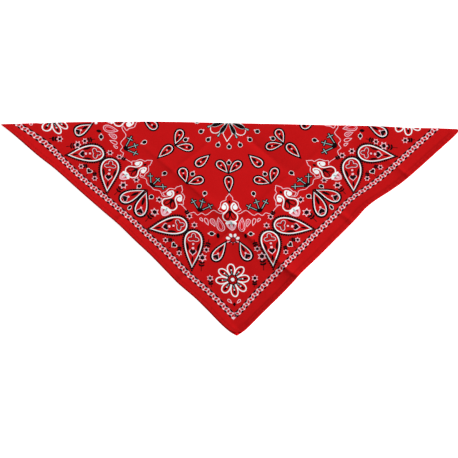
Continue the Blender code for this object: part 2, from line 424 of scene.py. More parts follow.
def hem_pucker(p, q):
    """The small pulls that a sewn hem puts into the cloth beside it."""
    along = np.maximum(p, q) * SIDE
    inwards = np.minimum(p, q) * SIDE
    beat = np.sin(2 * math.pi * along / PUCKER_PITCH + 2.4 * np.sin(2 * math.pi * along / PUCKER_DRIFT))
    return PUCKER_RISE * beat * np.exp(-((inwards / PUCKER_REACH) ** 2))


shares = np.linspace(0.0, 1.0, 200)
heights = np.concatenate([lift(share * shares, (1 - share) * shares) for share in shares])
print(f"the front layer stands up to {heights.max() / MM:.1f} mm off the under one")

# %% [markdown]
# ## One sheet, laid round its fold
# The square is never cut along the fold: it goes up the front, round a soft bend and back underneath. `lay`
# takes places on the flat square and gives them in the folded bandana. Both shares run from 0 to 1 over the
# whole square, so the far corner, which ends up underneath, is at (1, 1). Near its edges the cloth rises
# over the turned hem, dips where the stitches pull it in, and rounds over the rim.

# %% From the flat square to the folded one
UNDER_CALM = 0.25           # share of the front's creases that shows in the layer it rests on
STITCH_LINE = 5.8 * MM      # from the edge
LEFT_SLOPE = 13 * MM        # over which the face comes down behind the left hem
RIGHT_SLOPE = 4.5 * MM      # and behind the right one
SLOPE_TURN = 60 * MM        # over which one slope becomes the other round the point
SLOPE_LEAD = 0.8 * MM       # how far before the hem's inner edge the face starts down
CALM_REACH = 8 * MM         # from the bend, over which the hem's relief starts
STITCH_DIP = 0.14 * MM
STITCH_DIP_WIDTH = 0.5 * MM


def half_place(p, q, upper, height):
    """Places of one half, at a height above its bed. The shares run from the point up its two sides."""
    draw = PEEK / SIDE * smooth_step((1 - p - q) / PEEK_REACH) * upper
    p, q = draw + (1 - 2 * draw) * p, draw + (1 - 2 * draw) * q
    place = plan(p, q, POINT_PULL * upper)
    top = lift(p, q) + ripple(p, q) * smooth_step(1 - p - q) + hem_pucker(p, q) + hem_curl(p, q)
    bed = np.where(upper, top, UNDER_CALM * lift(p, q))
    return np.c_[place, bed + height]


def face_height(edge, slope, upper, calm):
    """How high the printed face runs over its hem, at distances from the edge. Calm is 0 in the bend."""
    over_hem = (HEM_TOP - FRONT_TOP) * (1 - smooth_step((edge - HEM_WIDTH + SLOPE_LEAD) / slope))
    dip = STITCH_DIP * np.exp(-(((edge - STITCH_LINE) / STITCH_DIP_WIDTH) ** 2))
    rim = HEM_ROUND - np.sqrt(np.maximum(0.0, HEM_ROUND**2 - np.maximum(0.0, HEM_ROUND - edge) ** 2))
    return np.where(upper, FRONT_TOP + calm * (over_hem - dip - rim), calm * (rim + dip))


print(f"face behind the hem, mm up: {face_height(np.array([20 * MM]), LEFT_SLOPE, True, 1.0)[0] / MM:.2f}")

# %% [markdown]
# ### Round the bend
# Near the fold the cloth leaves its half and turns through a half circle between the top layer and the bed
# of the under one. Everywhere else it follows its half. `facing` gives the way out of the printed face at
# any place.

# %% The whole square, laid
def lay(p, q):
    """Where places on the printed face of the flat square lie in the folded bandana."""
    from_fold = (1 - p - q) * DEPTH
    upper = from_fold >= 0
    half_p, half_q = np.where(upper, p, 1 - q), np.where(upper, q, 1 - p)
    edge = np.minimum(half_p, half_q) * SIDE
    edge = np.minimum(edge, (p + 1 - q) * SIDE / math.sqrt(2) - RIGHT_TIP_CUT / math.sqrt(2))
    grow = np.minimum(DEPTH / (DEPTH - BEND_HALF), 1 / (half_p + half_q + 1e-9))
    calm = smooth_step((np.abs(from_fold) - BEND_HALF) / CALM_REACH)
    slope = LEFT_SLOPE + (RIGHT_SLOPE - LEFT_SLOPE) * smooth_step(0.5 + (half_q - half_p) * SIDE / SLOPE_TURN)
    flat = half_place(half_p * grow, half_q * grow, upper, face_height(edge, slope, upper, calm))
    share = half_q / (half_p + half_q + 1e-9)
    top = half_place(1 - share, share, np.ones(len(p), bool), FRONT_TOP)
    low = half_place(1 - share, share, np.zeros(len(p), bool), 0.0)
    turn = math.pi / 2 * (1 - np.clip(from_fold / BEND_HALF, -1, 1))
    radius = (top[:, 2] - low[:, 2]) / 2
    bend = low + np.c_[np.outer((radius + GAP) * np.sin(turn), OUT_OF_FOLD), radius * (1 + np.cos(turn))]
    return np.where((np.abs(from_fold) < BEND_HALF)[:, None], bend, flat)


def facing(p, q, step=0.1 * MM):
    """The way the printed face looks out, at places on the flat square."""
    step = step / SIDE
    along_p = lay(np.minimum(p + step, 1), q) - lay(np.maximum(p - step, 0), q)
    along_q = lay(p, np.minimum(q + step, 1)) - lay(p, np.maximum(q - step, 0))
    out = np.cross(along_q, along_p)
    return out / np.maximum(np.linalg.norm(out, axis=1), 1e-12)[:, None]


sample = lay(np.array([0.0, 0.3, 0.5, 0.7, 1.0]), np.array([0.0, 0.3, 0.5, 0.7, 1.0]))
print("height in mm from the point over the fold to the far corner:", (sample[:, 2] / MM).round(2).tolist())

# %% [markdown]
# ## The print
# The cloth is screen printed: flat shapes of ink, one over the other, on red. The pattern is the old
# bandana stock of teardrops, stars, flowers and dots. Its layout is built from the square's own order: a
# medallion in the middle, rings of teardrops and lilies round it, a flower and paisleys in each corner, a
# chain along each side. Each motif is drawn here from plain curves, in millimetres of flat cloth: the first
# number runs across the page and the second up it. A motif is a list of shapes from the bottom ink to the
# top one, and each shape is an ink and its loops. Where one loop lies inside another, the space between
# them is inked.

# %% Outlines
def spots(count):
    return np.arange(count) * 2 * math.pi / count


def oval(width, height=None, at=(0, 0), count=12):
    turn = spots(count)
    return np.c_[at[0] + width / 2 * np.sin(turn), at[1] + (height or width) / 2 * np.cos(turn)]


def drop(length, width, at=(0, 0), count=28, sharp=1.35):
    """A teardrop: a round bulb at a place, and its tip up the page."""
    turn = spots(count)
    wide = np.sin(turn) * np.abs(np.sin(turn / 2)) ** sharp
    along = (np.cos(turn) + 1) / 2 * length - width / 2
    return np.c_[at[0] + wide / np.abs(wide).max() * width / 2, at[1] + along]


def inner_drop(length, width, depth, **shape):
    """The same teardrop drawn smaller inside itself: depth less at the sides, and more at the tip."""
    return drop(length - 2.7 * depth, width - 2 * depth, **shape)


def lens(length, width, at=(0, 0), count=8):
    """A leaf with a point at each end."""
    turn = spots(count)
    wide = np.sin(turn) * np.abs(np.sin(turn)) ** 0.3
    return np.c_[at[0] + width / 2 * wide, at[1] + length / 2 * np.cos(turn)]


def heart(size, at=(0, 0), count=20):
    """A heart with its point up the page."""
    turn = spots(count)
    along = (13 * np.cos(turn) - 5 * np.cos(2 * turn) - 2 * np.cos(3 * turn) - np.cos(4 * turn)) / 16
    return np.c_[at[0] + np.sin(turn) ** 3 * size / 2, at[1] - along * size / 2]


print("points in a teardrop:", len(drop(35, 19)), "and in a heart:", len(heart(12)))

# %% [markdown]
# ### Lines, and putting motifs in place
# Other outlines are drawn from a first one, inside it or along it. A finished motif is then turned,
# mirrored and moved to where it stands on the page.

# %% Insets, lines and places
def inset(points, depth):
    """An outline moved inwards, or outwards where depth is below 0, with its corners kept."""
    ahead = np.roll(points, -1, 0) - points
    ahead /= np.maximum(np.linalg.norm(ahead, axis=1), 1e-9)[:, None]
    area = np.sum(points[:, 0] * np.roll(points[:, 1], -1) - points[:, 1] * np.roll(points[:, 0], -1))
    after = np.c_[-ahead[:, 1], ahead[:, 0]] * (1 if area > 0 else -1)
    before = np.roll(after, 1, 0)
    sharpest = 0.12 if depth > 0 else 0.22      # keeps the mitre of a sharp corner short
    corner = (before + after) / np.maximum(1 + np.sum(before * after, 1), sharpest)[:, None]
    return points + corner * depth


def band(points, width):
    """The loop round a line of the given width, or of one width for each point."""
    points = np.asarray(points, float)
    ahead = np.gradient(points, axis=0)
    side = np.c_[-ahead[:, 1], ahead[:, 0]] / np.linalg.norm(ahead, axis=1)[:, None]
    side *= np.broadcast_to(np.asarray(width) / 2, len(points))[:, None]
    return np.r_[points + side, (points - side)[::-1]]


def rounded(points, steps=2):
    """A smooth line through the points."""
    points = np.asarray(points, float)
    ends = np.r_[[2 * points[0] - points[1]], points, [2 * points[-1] - points[-2]]]
    line = []
    for a, b, c, d in zip(ends, ends[1:], ends[2:], ends[3:]):
        for t in np.arange(steps) / steps:
            bow = (2 * a - 5 * b + 4 * c - d) * t**2 + (3 * b - 3 * c + d - a) * t**3
            line.append(0.5 * (2 * b + (c - a) * t + bow))
    return np.array(line + [points[-1]])


def spaced(points, pitch):
    """Places at an even pitch along a closed line."""
    closed = np.r_[points, points[:1]]
    run = np.r_[0, np.cumsum(np.linalg.norm(np.diff(closed, axis=0), axis=1))]
    at = np.linspace(0, run[-1], int(run[-1] / pitch), endpoint=False)
    return np.c_[np.interp(at, run, closed[:, 0]), np.interp(at, run, closed[:, 1])]


def placed(points, at=(0, 0), turn=0.0, size=1.0, flip=False):
    """Points sized, turned clockwise by degrees, then moved."""
    x, y = points[:, 0] * (-size if flip else size), points[:, 1] * size
    c, s = math.cos(math.radians(turn)), math.sin(math.radians(turn))
    return np.c_[at[0] + x * c + y * s, at[1] - x * s + y * c]


def ink(name, *loops):
    return [(name, list(loops))]


def moved(motif, **place):
    return [(name, [placed(loop, **place) for loop in loops]) for name, loops in motif]


def turned(motif, turns):
    """Copies of a motif, one at each number of degrees."""
    return [shape for turn in turns for shape in moved(motif, turn=turn)]


def pinned(motif, foot, tip, length):
    """A motif drawn from (0, 0) up to (0, length), laid from one place to another."""
    reach = np.subtract(tip, foot)
    turn = math.degrees(math.atan2(reach[0], reach[1]))
    return moved(motif, at=foot, turn=turn, size=np.hypot(*reach) / length)


def on_ring(motif, radius, degrees):
    """A motif moved out from the middle of the square, then turned with its spoke."""
    turn = math.radians(degrees)
    return moved(motif, at=(radius * math.sin(turn), radius * math.cos(turn)), turn=degrees)


def both_sides(motif, line_at=0.0):
    """A motif drawn on one side of a line up the page, and its mirror on the other."""
    return moved(motif + moved(motif, flip=True), at=(line_at, 0))


print("a line of 1 mm through three points has", len(band([(0, 0), (0, 5), (0, 10)], 1.0)), "points")

# %% [markdown]
# ### Teardrops
# Three kinds share one recipe: a dark edge, a white line, red inside, and a seed in the bulb. The large
# paisley also has a row of beads round its edge, two dark crescents, and a clover in its bulb.

# %% Teardrops
SEED_REACH = 25.5           # mm from the bulb's middle to the tip, here and below
PAIR_REACH = 32.5
LONG_REACH = 38.5
PAISLEY_REACH = 53.25


def ringed(size, dark, light, red):
    """A teardrop's dark edge, white line and red inside, each at its depth in from the outline."""
    depths = (("black", dark), ("white", light), ("red", red))
    return [(name, [inner_drop(depth=depth, **size)]) for name, depth in depths]


def seed_drop():
    """The small teardrop of the middle, with an eye and a streak inside."""
    size = dict(length=35, width=19, sharp=1.25)
    shapes = ringed(size, -1.1, 1.9, 3.1) + ink("black", oval(6.8, 6.8, (0, -1.6)))
    return shapes + ink("blush", oval(2.8, 2.8, (0, 3.2), 7)) + ink("black", lens(11.6, 4.8, (0.4, 10.6)))


def long_drop(length, width):
    """The longer teardrop that lies in pairs, with a heart in its bulb."""
    size = dict(length=length, width=width, sharp=1.35)
    tip = length - width / 2
    shapes = ringed(size, -1.2, 2.0, 3.5)
    shapes += ink("blush", heart(12.6, (0, -0.8))) + ink("black", heart(10.8, (0, -1.0)))
    shapes += ink("blush", oval(3.8, 3.8, (0, 5.6), 7))
    return shapes + ink("black", lens(tip * 0.4, 4.8, (0, tip * 0.46)))


def paisley():
    """The large beaded teardrop."""
    size = dict(length=68, width=32, sharp=1.3)
    shapes = ink("black", inner_drop(depth=-1.7, count=44, **size))
    for place in spaced(inner_drop(depth=-2.7, count=60, **size), 4.1):
        shapes += ink("black", oval(4.0, 4.0, place, 7))
    shapes += ink("white", drop(count=48, **size)) + ink("red", inner_drop(depth=2.1, count=36, **size))
    rim = inner_drop(depth=3.4, count=60, **size)[13:20]
    swell = np.sin(np.linspace(0, math.pi, len(rim))) ** 0.7 * 4.2
    shapes += both_sides(ink("black", np.r_[rim, (rim - np.c_[swell, 0 * swell])[::-1]]))
    for name, grow in (("blush", 2.3), ("black", 1.2), ("red", 0.0)):
        lobe = drop(10.2 + 2 * grow, 3.8 + 2 * grow, count=12, sharp=0.6)
        for spoke in (0.0, 1.75, -1.75):
            at = (6.4 * math.sin(spoke), -1.0 - 6.4 * math.cos(spoke))
            shapes += moved(ink(name, lobe), at=at, turn=-math.degrees(spoke))
    shapes += ink("blush", oval(4.0, 4.0, (0, 8.6), 7)) + ink("blush", oval(5.0, 4.6, (0, 16.2), 7))
    shapes += both_sides(ink("black", oval(1.8, 2.6, (3.2, 9.0), 6)))
    shapes += ink("black", oval(2.4, 2.2, (0, 12.2), 6))
    shapes += ink("blush", heart(13.2, (0, 23.6))) + ink("black", heart(11.0, (0, 22.8)))
    return shapes + ink("black", lens(11, 3.6, (0, 36.5)))


drops = {"seed drop": seed_drop(), "long drop": long_drop(50, 23), "paisley": paisley()}
print("shapes in each:", {name: len(shapes) for name, shapes in drops.items()})

# %% [markdown]
# ### Small things between
# Ringed dots, six-pointed stars, leafy sprigs, open pink loops and the corner flower with its little fan.

# %% Dots, stars, sprigs, flowers
QUARTERS = range(0, 360, 90)        # degrees
EIGHTHS = range(0, 360, 45)


def eye(knob=1.0):
    """A ringed dot with a small knob above it."""
    shapes = ink("white", oval(8.2, 9.0)) + ink("blush", oval(2.8 * knob, 2.8 * knob, (0, 5.4), 7))
    return shapes + ink("black", oval(6.8, 7.6))


def star(radius):
    reach = np.where(np.arange(12) % 2, 0.56, 1.0) * radius
    outer = np.c_[reach * np.sin(spots(12)), reach * np.cos(spots(12))]
    return ink("blush", outer) + ink("red", outer * 0.66) + ink("black", oval(radius * 0.94, count=8))


def sprig(length):
    """A curved stem below a star, with two pairs of narrow leaves that point up to it."""
    shapes = ink("black", band([(0, 4), (0.2, length * 0.6), (-0.8, length * 1.15)], 1.2))
    leaf = moved(ink("black", lens(0.2 * length + 2.2, 3.8, (0, 0.1 * length + 1.2), 8)), turn=124)
    for at in (0.36 * length + 3.0, 0.5 * length + 5.0):
        shapes += moved(both_sides(leaf), at=(0, at))
    return shapes


def loop(length, width, double=False):
    """An open teardrop line."""
    outer = drop(length, width, count=16, sharp=1.1)
    shapes = ink("blush", outer, inset(outer, 1.2))
    if double:
        inside = inner_drop(length, width, 3.0, count=14, sharp=1.1)
        shapes += ink("pink", inside, inset(inside, 1.0))
    return shapes


def corner_flower():
    """Eight petals with a stamen in each, round a dotted middle."""
    petal = placed(drop(26.0, 14.2, count=26, sharp=0.55), at=(0, 22.6), turn=180)
    shapes = turned(ink("white", petal), EIGHTHS) + turned(ink("red", inset(petal, 2.0)), EIGHTHS)
    stamen = ink("black", lens(12.0, 4.4, (0, 12.4))) + ink("grey", lens(7.0, 1.0, (0, 13.0), 6))
    stamen += ink("black", lens(8.6, 3.8, (0, 21.2))) + ink("white", oval(2.6, 2.6, (0, 17.5), 7))
    shapes += turned(stamen, EIGHTHS) + ink("black", oval(18.4, count=24)) + ink("red", oval(14.8, count=20))
    shapes += moved(turned(ink("black", oval(2.2, None, (0, 5.4), 6)), EIGHTHS), turn=22.5)
    return shapes + ink("black", oval(7.6, count=12)) + ink("white", oval(6.6, count=12))


def fan():
    """White petals over a dark ring that holds three leaves."""
    shapes = turned(ink("white", drop(7.6, 5.0, (0, -10.0), 10, 0.6)), (-70, -24, 24, 70))
    shapes += turned(ink("blush", lens(6.0, 2.2, (0, -9.0), 6)), (-112, 112))
    shapes += ink("pink", oval(11.8, count=14)) + ink("black", oval(10.6, count=14))
    shapes += ink("red", oval(7.6, count=12))
    return shapes + turned(ink("black", lens(6.0, 3.0, (0, 7.2), 6)), (-52, 0, 52))


print("shapes in the corner flower:", len(corner_flower()))

# %% [markdown]
# ### The lilies
# Twelve lilies stand in a ring, each in a pink line of pointed arches, with a fan of three crossed twigs
# and a wavy line between each two. Half of each outline is charted in whole millimetres, and mirrored.

# %% Lilies and twigs
# half of the pointed arch round a lily: across, along
ARCH = (
    (0, -32), (3, -28), (6, -24), (6, -20), (11, -18), (15, -15), (16, -10), (17, -6), (20, -2), (16, 1),
    (13, 3),
)
# half of the white scroll, from the curl down the neck and round the heart: across, along
SCROLL = (
    (12, -10), (8, -14), (5, -12), (3, -7), (4, -2), (7, 2), (12, 7), (13, 12), (11, 17), (6, 20), (0, 19),
)
SHELL = ((-9, 21), (-9, 25), (-7, 31), (0, 37), (7, 31), (9, 25), (9, 21), (0, 18))
# crests and hollows of the wavy line between two lilies: degrees round, mm from the middle
WAVES = ((3, 181), (5, 184), (9, 179), (13, 191), (15, 189), (17, 195), (19, 192), (21, 196), (27, 188))
DIAGONAL_WAVES = ((35, 186), (37, 191), (40, 186), (43, 191), (45, 190))


def wavy(turns):
    """A line that eases from each crest to the hollow next to it."""
    places = []
    for (here, low), (there, high) in zip(turns, turns[1:]):
        for share in np.linspace(0, 1, 5)[:-1]:
            places.append((here + (there - here) * share, low + (high - low) * smooth_step(share)))
    around, out = np.array(places + [turns[-1]]).T
    return np.c_[out * np.sin(np.radians(around)), out * np.cos(np.radians(around))]


def lily():
    shapes = both_sides(ink("blush", band(rounded(ARCH), 1.2)))
    shell = rounded(SHELL)
    shapes += ink("blush", shell) + ink("pink", inset(shell, 1.8)) + ink("red", inset(shell, 3.8))
    for step in range(3):
        shapes += both_sides(ink("white", oval(5.0, 4.4, (1.8 + 2.8 * step, 22.4 + 0.5 * step), 8)))
    shapes += ink("blush", lens(9.0, 5.4, (0, 28.2), 8)) + ink("grey", lens(8.0, 3.2, (0, 23.6), 8))
    scroll = rounded(SCROLL, 3)
    width = np.interp(np.arange(len(scroll)), (0, 6, 12, len(scroll) - 1), (2.0, 3.2, 2.0, 1.8))
    shapes += both_sides(ink("white", band(scroll, width)) + ink("white", oval(8.6, 9.0, (9.9, -6.4), 14)))
    lobe = pinned(ink("black", drop(18.6, 8.6, count=20, sharp=0.9)), (5.6, 12.2), (0.4, -1.4), 14.3)
    lobe += pinned(ink("red", drop(11.6, 5.0, count=16, sharp=0.9)), (5.8, 12.4), (2.4, 3.6), 9.1)
    shapes += both_sides(lobe)
    return shapes + ink("black", np.array([(0, -20.0), (2.4, -16.4), (0, -12.8), (-2.4, -16.4)]))


def twigs():
    """Three crossed twigs fanned from one knot."""
    shapes = []
    for turn, length in ((-46, 27), (0, 25), (46, 27)):
        bar = length * 0.76
        twig = ink("black", band([(0, -length - 0.4), (0, -length * 0.5), (0, 0)], 5.2))
        twig += ink("black", band([(-6.4, -bar), (6.4, -bar)], 4.8))
        twig += ink("grey", band([(0, -length + 0.8), (0, -length * 0.25)], 1.0))
        shapes += moved(twig + ink("grey", band([(-5.0, -bar), (5.0, -bar)], 1.0)), turn=-turn)
    return shapes + ink("black", np.array([(-3.4, -4.6), (3.4, -4.6), (0, 2.0)]))


print("shapes in a lily and in its twigs:", len(lily()), len(twigs()))

# %% [markdown]
# ### The medallion
# It has eight petals, four of them pointed, with dark spears between them and eighteen ringed dots round
# it.

# %% The medallion
MEDALLION_TURN = -4.5       # degrees: the screens of the middle and of the corners weren't cut quite true
FLOWER_TURN = 5
DART_RING = 38              # mm from the middle to the darts at the spears' ends
# degrees round to a spear's dart, degrees that the spear leans
SPEARS = ((23, 30), (57, 69), (123, 111), (157, 150))


def medallion():
    pointed = np.array([(1.2, 12), (5.0, 20), (8.6, 31.5), (7.4, 34.5), (0, 47.0)])
    pointed = np.r_[pointed, pointed[3::-1] * (-1, 1)]
    round_petal = drop(35, 19, (0, -32.5), 24, 0.75) * (1, -1)
    dart = np.array([(-0.6, -3.6), (0.6, -3.6), (1.3, 3.4), (-1.3, 3.4)])
    spear = drop(26, 6.6, (0, 7.8), 18, 1.7) * (1, -1)
    spears = ink("grey", inset(spear, -0.7)) + ink("black", spear)
    spears += ink("black", inset(dart, -1.2)) + ink("grey", dart)
    shapes = turned(ink("white", pointed) + ink("red", inset(pointed, 1.2)), QUARTERS)
    shapes += turned(ink("white", round_petal) + ink("red", inset(round_petal, 1.2)), (42, 138, 222, 318))
    for around, leaning in SPEARS:
        shapes += both_sides(on_ring(moved(spears, turn=leaning - around), DART_RING, around))
    shapes = moved(shapes, turn=MEDALLION_TURN)
    for k in range(18):
        shapes += on_ring(moved(eye(), turn=180), 55.8, 20 * k)
    shapes += ink("white", oval(15, count=20)) + ink("black", oval(12, count=18))
    return shapes + ink("white", oval(5, count=10))


print("shapes in the medallion:", len(medallion()))

# %% [markdown]
# ### Where everything stands
# Teardrops repeat six times round the middle in two rings of clusters, and the lilies' ring repeats four
# times round them.

# %% The middle
# two rings of six clusters: degrees of the first spoke, and in mm a pair's bulb across the spoke and along
# it, where the pair's tips meet, the ringed dot, and the bulb and the tip of the lone drop
CLUSTERS = (
    (0, (15.0, 89.4), 108.0, 86.4, 120.4, 145.0),
    (30, (15.7, 129.4), 147.2, 125.6, 101.5, 77.5),
)
LONE_LEAN = 8               # mm that the lone drops lean off their spokes, most on the diagonals
# what stands on the lilies' ring, mm from the middle, and degrees from each of the square's four axes
LILY_RING = (
    (lily, 177.5, 0), (twigs, 189, 45), (eye, 150.5, 45),
    (lily, 186.4, 32), (twigs, 187, 16.5), (eye, 151.5, 16.4),
    (lily, 186.4, -32), (twigs, 187, -16.5), (eye, 151.5, -16.4),
)
LEAF_RING = 247             # mm from the middle to the lone leaf near each side's chain


def middle():
    seed, dot = seed_drop(), moved(eye(), turn=180)
    shapes = medallion()
    for k in range(0, 360, 60):
        for first, bulb, tips, dot_along, lone_bulb, lone_tip in CLUSTERS:
            pair = both_sides(pinned(seed, bulb, (0.2, tips), SEED_REACH)) + moved(dot, at=(0, dot_along))
            tip = (-LONE_LEAN * math.sin(math.radians(2 * (k + first))), lone_tip)
            shapes += moved(pair + pinned(seed, (0, lone_bulb), tip, SEED_REACH), turn=k + first)
    for k in QUARTERS:
        for draw, radius, degrees in LILY_RING:
            shapes += on_ring(draw(), radius, k + degrees)
    vine = both_sides(ink("blush", band(wavy(WAVES), 1.1)) + ink("blush", band(wavy(DIAGONAL_WAVES), 1.1)))
    mirrored = [(name, [line[:, ::-1] for line in loops]) for name, loops in vine]
    leaf = ink("white", lens(10.6, 6.8, count=12)) + ink("black", lens(8.4, 5.0, count=12))
    shapes += turned(vine + mirrored, (0, 180))
    return shapes + moved(turned(moved(leaf, at=(0, LEAF_RING)), QUARTERS), turn=45)


print("shapes in the middle:", len(middle()))

# %% [markdown]
# ### The corners
# Each corner is the mirror of its own half, so one half is enough. Its places are given across from the
# corner's line and along it from the middle of the square.

# %% The corners
# across, along, radius, and where the sprig that hangs on it ends: across, along
STARS = (
    (38.5, 302.5, 6.2, 38, 317),
    (71, 189, 6.0, 77.5, 178),
    (63, 205, 6.2, None, None),
    (115.5, 233.5, 5.6, 103, 233),
    (92, 257, 5.6, 91, 244.5),
    (43.5, 250, 6.0, 39, 233.5),
    (50.5, 264.5, 8.2, 53.5, 286),
    (121.5, 159.5, 6.4, None, None),
    (131.5, 183, 8.2, 147.5, 197.5),
)
# length, width, round end across and along, tip across and along, and whether it is drawn twice
LOOPS = (
    (27, 13.4, 18, 209.5, 21, 189.5, True),
    (16.2, 9.0, 31.5, 197, 27.5, 208, True),
    (15.4, 7.2, 42.5, 195, 38.5, 206, False),
    (9.6, 5.6, 51, 193.5, 47.5, 199, False),
    (10.4, 5.4, 9.5, 340.5, 4, 345.5, False),
)
HEART_AT = (101, 242.5)


def half_corner():
    shapes = pinned(paisley(), (66, 231.5), (69.5, 284.5), PAISLEY_REACH)
    shapes += pinned(paisley(), (91.5, 205.5), (144, 213.5), PAISLEY_REACH)
    shapes += pinned(long_drop(43, 21), (26, 261.5), (11, 232.5), PAIR_REACH)
    shapes += pinned(long_drop(50, 23), (156.5, 180.5), (141, 142.5), LONG_REACH)
    for across_it, along_it, radius, leaf_across, leaf_along in STARS:
        if leaf_across:
            length = math.hypot(leaf_across - across_it, leaf_along - along_it)
            shapes += pinned(sprig(length), (across_it, along_it), (leaf_across, leaf_along), length)
        shapes += moved(star(radius), at=(across_it, along_it))
    shapes += moved(ink("white", heart(11.8)) + ink("black", heart(9.6)), at=HEART_AT, turn=50)
    shapes += moved(turned(ink("black", lens(4.6, 1.6, (0, 9.0), 6)), (60, 180, 300)), at=HEART_AT)
    shapes += moved(eye(), at=(34, 220.5), turn=90) + moved(eye(0.7), at=(34, 220.5), turn=270)
    shapes += moved(ink("black", lens(9.6, 6.0)), at=(24, 224)) + moved(eye(0.8), at=(134.5, 154.5), turn=45)
    for length, width, foot_across, foot_along, tip_across, tip_along, double in LOOPS:
        foot, tip = (foot_across, foot_along), (tip_across, tip_along)
        shapes += pinned(loop(length, width, double), foot, tip, length - width / 2)
    return shapes


def corner():
    shapes = both_sides(half_corner())
    shapes += moved(corner_flower(), at=(0, 305), turn=FLOWER_TURN) + moved(fan(), at=(0, 231))
    return shapes + ink("black", np.array([(0, 343), (3, 347), (0, 351), (-3, 347)]))


print("shapes in a corner:", len(corner()))

# %% [markdown]
# ### The chain
# A plaited border runs along each side: a pale band with wavy edges, leaf-shaped openings two by two, and a
# dark dash in each of its hollows. It is drawn lying across the page, link by link, and moved out to its
# side.

# %% The chain, and the whole print
CHAIN_REACH = 371           # mm from the middle of the square to where two chains meet
CHAIN_LINKS = 45
DASH_WIDTHS = (1.2, 2.4, 3.0, 3.2, 3.0, 2.4, 1.2)
DASH_HALF = 4.2
DASH_LINE = -4.5


def chain():
    """The border of one side."""
    length = CHAIN_REACH * math.sqrt(2)
    pitch = length / CHAIN_LINKS
    links = (np.arange(CHAIN_LINKS) + 0.5) * pitch - length / 2
    shapes = []
    bow = np.linspace(-1, 1, len(DASH_WIDTHS))
    for at in links:
        arc = np.c_[DASH_HALF * bow + at + pitch / 2, DASH_LINE - bow**2]
        shapes += ink("black", oval(6.8, 4.6, (at, 3.0), 12)) + ink("black", band(arc, DASH_WIDTHS))
    along = np.linspace(links[0] - pitch / 4, links[-1] + pitch / 2, 8 * CHAIN_LINKS - 1)
    wave = np.cos(2 * math.pi * (along - links[0]) / pitch)
    top_line = np.c_[along, 3.0 - 1.2 * wave]
    low_line = np.c_[along, -4.0 - 1.15 * wave]
    ends = np.array([(-length / 2 - 4, 4), (length / 2 + 4, 4), (length / 2 - 5, -5), (-length / 2 + 5, -5)])
    shapes += ink("blush", np.r_[ends[:1], top_line, ends[1:3], low_line[::-1], ends[3:]])
    for at in links:
        shapes += both_sides(moved(ink("red", lens(6.8, 4.3, count=10)), at=(2.9, -0.45), turn=24), at)
        shapes += ink("white", oval(3.4, 1.8, (at + pitch / 2, 3.3), 8))
    return moved(shapes, at=(0, length / 2))


def whole_print():
    shapes = middle()
    for k in QUARTERS:
        shapes += moved(chain(), turn=k + 45) + moved(corner(), turn=k)
    return shapes


printed = whole_print()
print(len(printed), "inked shapes,", sum(len(loop) for _, loops in printed for loop in loops), "points")

# %% [markdown]
# ## Printing on cloth
# Ink has sharp edges, so they are cut into the mesh itself: one triangulation takes the edges of every
# shape together with the lines that the folded form needs, and each triangle then takes one ink. The print
# sits a little off the middle of the square, and the bias has drawn the cloth, so the corners are given
# where they fall in the print's millimetres. Handling has also pulled the print askew here and there, which
# the slips add.

# %% From the print's millimetres to shares of the square's side
POINT_AT, LEFT_AT, RIGHT_AT, FAR_AT = np.array(((5.5, 410.5), (-393, 6), (399, 15.5), (-1, -414)))
# on the print, mm: across, along, reach of the slip, and how far it goes across and along
SLIPS = (
    (-175, 44, 50, -1, 8),
    (-108, 104, 25, -5, 2),
    (-160, 145, 60, -3, -3),
    (-302, 38, 35, 10, 1),
    (-245, 100, 40, -2, 1),
    (0, 228, 28, 5, 1),
    (0, 346, 30, 3, 3),
    (75, 260, 50, 5, -2),
    (155, 150, 50, 7, -3),
    (200, 48, 50, 6, -1),
    (90, 60, 45, 1, -5),
    (235, 112, 45, 3, -3),
)


def cloth_shares(points):
    """Where places on the print fall on the square. Its two halves meet along the fold."""
    slipped = np.array(points, float)
    for across_it, along_it, reach, shift_across, shift_along in SLIPS:
        near = np.exp(-np.sum((points - np.array((across_it, along_it))) ** 2, axis=1) / reach**2)
        slipped += np.outer(near, (shift_across, shift_along))
    front_sides = np.column_stack((LEFT_AT - POINT_AT, RIGHT_AT - POINT_AT))
    under_sides = np.column_stack((RIGHT_AT - FAR_AT, LEFT_AT - FAR_AT))
    to_front = np.linalg.solve(front_sides, (slipped - POINT_AT).T).T
    to_under = np.linalg.solve(under_sides, (slipped - FAR_AT).T).T
    return np.where(to_front.sum(axis=1, keepdims=True) <= 1, to_front, 1 - to_under)


def plainer_underneath(line):
    """A line with half its points where it lies on the under half, which is out of sight."""
    return line[::2] if len(line) > 11 and (line.sum(axis=1) > 1.02).all() else line


printed = [(name, [plainer_underneath(cloth_shares(loop)) for loop in loops]) for name, loops in printed]
print("shares of the first motif:", printed[0][1][0].round(3).tolist()[:3])

# %% [markdown]
# ## Lines that the form needs
# Rows lie close together where the surface turns fast: at the rim, over the hem and its stitches, round the
# bend and beside the creases. Elsewhere an even grid is enough, coarser on the half that lies flat
# underneath.

# %% Rim and rows
CUT = RIGHT_TIP_CUT / SIDE
STATION = 4 * MM / SIDE     # from one place to the next along a rim or a row
EDGE_ROWS = np.array((0.06, 0.2, 0.45, 0.8, 5.0, 5.5, 5.8, 6.1, 6.6, 7.2, 7.9, 8.8)) * MM / SIDE
BEND_ROWS = np.array((-1, -0.75, -0.5, -0.25, 0, 0.25, 0.5, 0.75, 1)) * BEND_HALF / DEPTH
CREASE_ROWS = np.array((0, 1.2, -1.2, 2.5, -2.5, 4.5, -4.5)) * MM / SIDE
FRONT_STEP = 4.5 * MM / SIDE
UNDER_STEP = 9 * MM / SIDE
# how far from the rim the rows stop, the ink, and the loose places
ROW_MARGIN = 0.05 * MM / SIDE
INK_MARGIN = 1 * MM / SIDE
LOOSE_MARGIN = 9.5 * MM / SIDE


